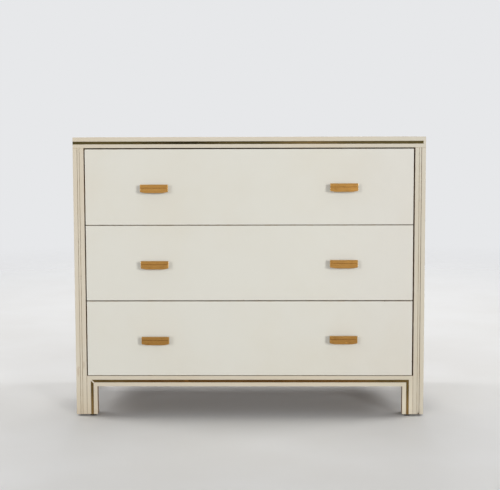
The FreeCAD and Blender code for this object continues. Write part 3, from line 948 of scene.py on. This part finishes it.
BRASS = tint(169, 128, 70)
BRASS_DEEP = tint(154, 111, 55)
BRASS_TARNISH_AND_DARK_REFLECTION = tint(124, 86, 44)
BRASS_SHINE_AND_HIGHLIGHT = tint(206, 168, 104)
STROKE_DEPTH = 0.00002
LOW_PULLS_DARK_REFLECTION = (0.2, 0.65, 0.19, 0.0)  # painted dark reflection on the lower pulls: from where to where in z, and from how much to how much
HANDLED_SHINE_AND_HIGHLIGHT = 0.6
BRASS_ROUGHNESS = (0.24, 0.42)


def satin_brass(name):
    """Brass brushed along its length, a little tarnished, bright where hands rub it, with painted
    glints, painted highlights on its edges and a painted dark reflection on the lower pulls.
    """
    recipe = Recipe(name)
    strokes = recipe.noise("brush_strokes", recipe.drawn_out(SIDEWAYS, *BRUSH_STROKES))
    colour = recipe.mix(recipe.band(strokes, *SHOWING["brush_strokes"]), BRASS, BRASS_DEEP)
    # painted glints: bright streaks painted into the colour
    painted_glint_patches = recipe.patches("painted_glints", recipe.drawn_out(SIDEWAYS, *PAINTED_GLINT_STRETCH))
    colour = recipe.mix(painted_glint_patches, colour, BRASS_SHINE_AND_HIGHLIGHT)
    colour = recipe.mix(recipe.patches("brass_blotches"), colour, BRASS_TARNISH_AND_DARK_REFLECTION)
    # painted dark reflection: the lower pulls are darker
    low = recipe.band(recipe.axis(recipe.place, "Z"), *LOW_PULLS_DARK_REFLECTION)
    colour = recipe.mix(low, colour, BRASS_TARNISH_AND_DARK_REFLECTION)
    # edges painted bright: partly brass rubbed by hands, partly painted highlight
    colour = recipe.mix(recipe.times(recipe.worn(), HANDLED_SHINE_AND_HIGHLIGHT), colour, BRASS_SHINE_AND_HIGHLIGHT)
    return recipe.finish(
        colour=colour,
        metallic=1.0,
        roughness=recipe.follow(strokes, *BRASS_ROUGHNESS),
        normal=recipe.bump(strokes, STROKE_DEPTH),
    )


LINE_BRASS = tint(96, 78, 46)
LINE_DARK = tint(68, 56, 32)
LINE_BRIGHT = tint(140, 104, 58)
LINE_OLIVE = tint(66, 60, 36)
LINE_PALE = tint(136, 112, 72)
LINE_RUST = tint(112, 66, 28)
LINE_BLACK = (0.004, 0.004, 0.004, 1.0)
SPOT_HEIGHT = 0.00004
LINE_ROUGHNESS = (0.32, 0.55)

# Tones of the brass lines: from where to where in z, and from how much to how much
# painted reflection: the lines are brighter and paler towards the floor
FOOT_BRIGHT_REFLECTION = (0.0, 0.07, 0.45, 0.0)
FOOT_PALE_REFLECTION = (0.02, 0.1, 0.55, 0.0)
RAIL_START = (0.06, 0.09, 0.0, 1.0)
RAIL_FADE = (0.2, 0.4, 1.0, 0.0)
TOP_LINE = (0.5, 0.7, 0.0, 1.0)
RAIL_ENDS = (0.25, 0.38)  # how far out in x they start and are full
RAIL_RUST = 0.3
RAIL_END_PALE = 0.15
TOP_OLIVE = 0.7
# Stretches of the top line painted darker and paler as reflection: middle in x, reach and strength
TOP_DARK_REFLECTION = (-0.17, 0.15, 0.6)
TOP_PALE_REFLECTION = (0.16, 0.14, 0.3)


def aged_brass_and_dark_reflection(name):
    """Brass line, dark brown partly from age and partly as a painted dark reflection, in patches
    along its length.
    """
    recipe = Recipe(name)
    x = recipe.axis(recipe.place, "X")
    z = recipe.axis(recipe.place, "Z")
    near_top = recipe.band(z, *TOP_LINE)

    def stretch_of(middle, reach, strength):
        """A soft patch along the top line."""
        away = recipe.size_of(recipe.math("SUBTRACT", x, middle))
        return recipe.times(recipe.band(away, 0.0, reach, strength, 0.0), near_top)

    colour = recipe.mix(recipe.patches("line_patches"), LINE_BRASS, LINE_DARK)
    spots = recipe.noise("line_spots")
    colour = recipe.mix(recipe.band(spots, *SHOWING["line_spots"]), colour, LINE_DARK)
    colour = recipe.mix(recipe.patches("line_scrapes"), colour, LINE_BRIGHT)
    # painted reflection: brighter and paler towards the floor
    colour = recipe.mix(recipe.band(z, *FOOT_BRIGHT_REFLECTION), colour, LINE_BRIGHT)
    colour = recipe.mix(recipe.band(z, *FOOT_PALE_REFLECTION), colour, LINE_PALE)
    rail = recipe.times(recipe.band(z, *RAIL_START), recipe.band(z, *RAIL_FADE))
    ends = recipe.band(recipe.size_of(x), *RAIL_ENDS)
    middle = recipe.math("SUBTRACT", 1.0, ends)
    colour = recipe.mix(recipe.times(rail, middle, RAIL_RUST), colour, LINE_RUST)
    colour = recipe.mix(recipe.times(rail, ends, RAIL_END_PALE), colour, LINE_PALE)
    colour = recipe.mix(recipe.times(near_top, TOP_OLIVE), colour, LINE_OLIVE)
    # painted reflection: a darker and a paler stretch along the top line
    colour = recipe.mix(stretch_of(*TOP_DARK_REFLECTION), colour, LINE_BLACK)
    colour = recipe.mix(stretch_of(*TOP_PALE_REFLECTION), colour, LINE_PALE)
    return recipe.finish(
        colour=colour,
        metallic=1.0,
        roughness=recipe.follow(spots, *LINE_ROUGHNESS),
        normal=recipe.bump(spots, SPOT_HEIGHT),
    )


ZINC_GREY = tint(150, 150, 152)
ZINC_PALE = tint(206, 204, 196)
ZINC_TONES = ((NOISE_LOW, ZINC_GREY), (NOISE_HIGH, ZINC_PALE))
ZINC_ROUGHNESS = (0.28, 0.48)


def zinc(name):
    """Zinc plate, in faint clouds."""
    recipe = Recipe(name)
    clouds = recipe.noise("zinc_clouds")
    return recipe.finish(
        colour=recipe.ramp(clouds, *ZINC_TONES),
        metallic=1.0,
        roughness=recipe.follow(clouds, *ZINC_ROUGHNESS),
    )


NYLON_DARK = tint(30, 28, 26)
NYLON_SCUFFED = tint(82, 78, 72)
NYLON_TONES = ((0.4, NYLON_DARK), (0.8, NYLON_SCUFFED))
SCUFF_HEIGHT = 0.00005
NYLON_ROUGHNESS = (0.4, 0.65)


def nylon(name):
    """Dark nylon, scuffed pale."""
    recipe = Recipe(name)
    scuffs = recipe.noise("nylon_scuffs")
    return recipe.finish(
        colour=recipe.ramp(scuffs, *NYLON_TONES),
        roughness=recipe.follow(scuffs, *NYLON_ROUGHNESS),
        normal=recipe.bump(scuffs, SCUFF_HEIGHT),
    )


HARDBOARD_DARK = tint(86, 58, 38)
HARDBOARD_PALE = tint(140, 102, 70)
HARDBOARD_TONES = ((NOISE_LOW, HARDBOARD_DARK), (NOISE_HIGH, HARDBOARD_PALE))
HARDBOARD_CLOUD = tint(96, 64, 40)
PRESS_MESH = 4200.0  # radians to the metre
PRESS_DEPTH = 0.00008
PRESSED_FIBRE_HEIGHT = 0.0002
HARDBOARD_ROUGHNESS = 0.68


def hardboard(name):
    """Pressed brown fibre, with the mesh print of its press."""
    recipe = Recipe(name)
    fibres = recipe.noise("pressed_fibres")
    colour = recipe.ramp(fibres, *HARDBOARD_TONES)
    colour = recipe.mix(recipe.patches("pressed_clouds"), colour, HARDBOARD_CLOUD)
    prints = [
        recipe.math("SINE", recipe.times(recipe.axis(recipe.place, axis), PRESS_MESH))
        for axis in "XZ"
    ]
    normal = recipe.bump(recipe.times(*prints), PRESS_DEPTH)
    normal = recipe.bump(fibres, PRESSED_FIBRE_HEIGHT, normal)
    return recipe.finish(colour=colour, roughness=HARDBOARD_ROUGHNESS, normal=normal)


CHIP_DARK = tint(150, 116, 80)
CHIP_MIDDLE = tint(198, 166, 124)
CHIP_PALE = tint(222, 194, 152)
CHIP_TONES = ((0.0, CHIP_DARK), (0.6, CHIP_MIDDLE), (1.0, CHIP_PALE))
WOOD_CHIPS = 380.0  # to the metre
WOOD_CHIP_LIE = (1.0, 0.6, 2.0)  # they lie flat, and longer from front to back
WOOD_CHIP_HEIGHT = 0.0003
BOARD_ROUGHNESS = 0.8


def particle_board(name):
    """Pressed wood chips of many tones."""
    recipe = Recipe(name)
    chips = recipe.cells(WOOD_CHIPS, recipe.stretch(WOOD_CHIP_LIE))
    tone = recipe.axis(chips.outputs["Color"], "X")
    return recipe.finish(
        colour=recipe.ramp(tone, *CHIP_TONES),
        roughness=BOARD_ROUGHNESS,
        normal=recipe.bump(chips.outputs["Distance"], WOOD_CHIP_HEIGHT),
    )


MAPLE_PALE = tint(226, 198, 154)
MAPLE_DARK = tint(184, 142, 94)
PLY_PALE = tint(222, 192, 146)
PLY_DARK = tint(186, 148, 102)
BEECH_PALE = tint(208, 166, 122)
BEECH_DARK = tint(158, 110, 72)
PINE_PALE = tint(222, 188, 134)
PINE_DARK = tint(176, 124, 72)

TIMBERS = {
    "drawer_maple": (MAPLE_PALE, MAPLE_DARK, {"roughness": 0.42}),
    "drawer_plywood": (PLY_PALE, PLY_DARK, {"roughness": 0.5, "band": 4.0, "rings": 7.0}),
    "runner_beech": (BEECH_PALE, BEECH_DARK, {"roughness": 0.4, "band": 16.0}),
    "dowel_beech": (BEECH_PALE, BEECH_DARK, {"roughness": 0.6, "band": 30.0}),
    "case_softwood": (PINE_PALE, PINE_DARK, {"roughness": 0.6, "band": 20.0}),
}
PLAIN_FINISHES = {
    "pull_brass": satin_brass,
    "inlay_brass": aged_brass_and_dark_reflection,
    "steel_screw": zinc,
    "glide_nylon": nylon,
    "back_hardboard": hardboard,
    "case_board": particle_board,
    "case_cream": case_finish,
    "front_cream": front_finish,
}
made_finishes = {}


def finish_for(node):
    """The finish of a node's slot, with timber grain along the node's longest side."""
    slot = SLOT_OF[node]
    low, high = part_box(node)
    along = max(range(3), key=lambda axis: (high - low)[axis])
    key = (slot, along) if slot in TIMBERS else (slot,)
    if key in made_finishes:
        return made_finishes[key]
    if slot in TIMBERS:
        pale, dark, figure = TIMBERS[slot]
        made = timber(slot + "_along_" + "xyz"[along], along, pale, dark, **figure)
    else:
        made = PLAIN_FINISHES[slot](slot)
    made_finishes[key] = made
    return made


# Pieces

def maker_for(node):
    """The function that models a node, or None where the node itself is shown."""
    if node.endswith("_pull"):
        return pull
    if node.endswith("drawer_front"):
        return drawer_front
    if node.endswith("screws"):
        return screws
    if node == "floor_glides":
        return glides
    if node == "case_dowels":
        return None
    return eased_board


def make_piece(node, maker):
    """Finished object that stands for a node and rides on its body."""
    bm = maker(node)
    mesh = bpy.data.meshes.new(node + "_finished")
    bm.to_mesh(mesh)
    bm.free()
    mesh.shade_smooth()
    mesh.set_sharp_from_angle(angle=SOFT)
    piece = bpy.data.objects.new(mesh.name, mesh)
    bpy.context.scene.collection.objects.link(piece)
    piece.modifiers.new("even_shading", "WEIGHTED_NORMAL").keep_sharp = True
    mesh.materials.append(finish_for(node))
    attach(piece, BODY_OF[node])
    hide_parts(node)


for node, cad_object in frame["nodes"].items():
    maker = maker_for(node)
    if maker:
        make_piece(node, maker)
    else:
        cad_object.data.materials.clear()
        cad_object.data.materials.append(finish_for(node))


# Floor, light and camera

FLOOR_HALF = 5.0
FLOOR_FADE = 0.9  # how far out the floor starts to fade into the backdrop
FLOOR_COLOUR = tint(214, 213, 211)
FLOOR_BOUNCE = tint(112, 110, 107)  # what the floor sends back up on to the chest
FLOOR_ROUGHNESS = 0.55
BACKDROP = tint(231, 232, 234)
SKY = (1.0, 1.0, 1.0, 1.0)
SKY_STRENGTH = 0.35

# Lamps: place, size and watts
AIM = Vector((0.0, FRONT, 0.4))
LAMPS = {
    "key_light": ((5.6, FRONT - 10.6, 2.6), 2.0, 583.0),
    "fill_light": ((-5.3, FRONT - 10.7, 2.6), 2.0, 246.0),
    "key_sheen": ((5.6, FRONT - 10.6, 0.2), 2.0, 570.0),
    "fill_sheen": ((-5.3, FRONT - 10.7, 0.2), 2.0, 240.0),
    "front_light": ((0.0, FRONT - 7.4, 1.1), 1.2, 97.0),
    "right_light": ((3.4, 0.7, 2.5), 1.6, 66.0),
    "left_light": ((-3.4, 0.7, 2.5), 1.6, 66.0),
    "rear_light": ((0.0, 3.9, 2.6), 1.6, 74.0),
}
SHEEN_ONLY = ("key_sheen", "fill_sheen")  # these show in gloss, the others only light


def lay_floor():
    """Pale floor that fades into the backdrop and throws little light back up."""
    bm = bmesh.new()
    bmesh.ops.create_grid(bm, x_segments=1, y_segments=1, size=FLOOR_HALF)
    mesh = bpy.data.meshes.new("floor")
    bm.to_mesh(mesh)
    bm.free()
    floor = bpy.data.objects.new("floor", mesh)
    bpy.context.scene.collection.objects.link(floor)
    recipe = Recipe("pale_floor")
    colour = recipe.mix(recipe.patches("floor_clouds"), FLOOR_COLOUR, BACKDROP)
    seen = seen_directly(recipe.tree)
    recipe.finish(colour=recipe.mix(seen, FLOOR_BOUNCE, colour), roughness=FLOOR_ROUGHNESS)
    away = recipe.node("ShaderNodeVectorMath", {0: recipe.place}, operation="LENGTH")
    fade = recipe.band(away.outputs["Value"], FLOOR_FADE, FLOOR_HALF)
    clear = recipe.node("ShaderNodeBsdfTransparent", {})
    mixed = recipe.node(
        "ShaderNodeMixShader", {0: fade, 1: recipe.shader.outputs[0], 2: clear.outputs[0]}
    )
    recipe.put(recipe.tree.nodes["Material Output"].inputs["Surface"], mixed.outputs[0])
    mesh.materials.append(recipe.material)


def seen_directly(tree):
    """1 for what the camera, a shiny surface or glass shows, 0 for light that is scattered on."""
    path = tree.nodes.new("ShaderNodeLightPath")
    seen = path.outputs["Is Camera Ray"]
    for name in ("Is Glossy Ray", "Is Transmission Ray"):
        either = tree.nodes.new("ShaderNodeMath")
        either.operation = "MAXIMUM"
        tree.links.new(seen, either.inputs[0])
        tree.links.new(path.outputs[name], either.inputs[1])
        seen = either.outputs[0]
    return seen


def light_sky():
    """Even sky light; the camera and shiny surfaces see a pale backdrop."""
    world = bpy.data.worlds.new("studio")
    world.use_nodes = True
    bpy.context.scene.world = world
    tree = world.node_tree
    light = tree.nodes["Background"]
    light.inputs["Color"].default_value = SKY
    light.inputs["Strength"].default_value = SKY_STRENGTH
    backdrop = tree.nodes.new("ShaderNodeBackground")
    backdrop.inputs["Color"].default_value = BACKDROP
    mixed = tree.nodes.new("ShaderNodeMixShader")
    tree.links.new(seen_directly(tree), mixed.inputs[0])
    tree.links.new(light.outputs[0], mixed.inputs[1])
    tree.links.new(backdrop.outputs[0], mixed.inputs[2])
    tree.links.new(mixed.outputs[0], tree.nodes["World Output"].inputs["Surface"])


def hang_lamp(name, place, size, watts):
    """Square soft lamp that faces the chest."""
    lamp = bpy.data.lights.new(name, "AREA")
    lamp.shape = "SQUARE"
    lamp.size = size
    lamp.energy = watts
    lamp_object = bpy.data.objects.new(name, lamp)
    lamp_object.location = place
    lamp_object.rotation_euler = (AIM - Vector(place)).to_track_quat("-Z", "Y").to_euler()
    lamp_object.visible_camera = False
    lamp_object.visible_glossy = name in SHEEN_ONLY
    lamp_object.visible_diffuse = name not in SHEEN_ONLY
    bpy.context.scene.collection.objects.link(lamp_object)


CAMERA_PLACE = Vector((0.0441, -3.3208, 0.7425))
CAMERA_PITCH = math.radians(5.267)  # down
CAMERA_YAW = math.radians(-0.775)  # towards +X
CAMERA_ROLL = math.radians(-0.151)
CAMERA_LENS = 85.68
CAMERA_SENSOR = 36.0


def stand_camera():
    """Camera at the height of the chest's top, a little right of its middle."""
    forward = Vector((
        math.sin(CAMERA_YAW) * math.cos(CAMERA_PITCH),
        math.cos(CAMERA_YAW) * math.cos(CAMERA_PITCH),
        -math.sin(CAMERA_PITCH),
    ))
    level = Vector((math.cos(CAMERA_YAW), -math.sin(CAMERA_YAW), 0))
    upright = level.cross(forward)
    right = level * math.cos(CAMERA_ROLL) + upright * math.sin(CAMERA_ROLL)
    up = upright * math.cos(CAMERA_ROLL) - level * math.sin(CAMERA_ROLL)
    lens = bpy.data.cameras.new("camera")
    lens.lens = CAMERA_LENS
    lens.sensor_width = CAMERA_SENSOR
    lens.sensor_fit = "HORIZONTAL"
    camera = bpy.data.objects.new("camera", lens)
    turn = Matrix((right, up, -forward)).transposed().to_4x4()
    camera.matrix_world = Matrix.Translation(CAMERA_PLACE) @ turn
    bpy.context.scene.collection.objects.link(camera)
    bpy.context.scene.camera = camera


lay_floor()
light_sky()
for name, (place, size, watts) in LAMPS.items():
    hang_lamp(name, place, size, watts)
stand_camera()
bpy.context.scene.view_settings.view_transform = "Standard"
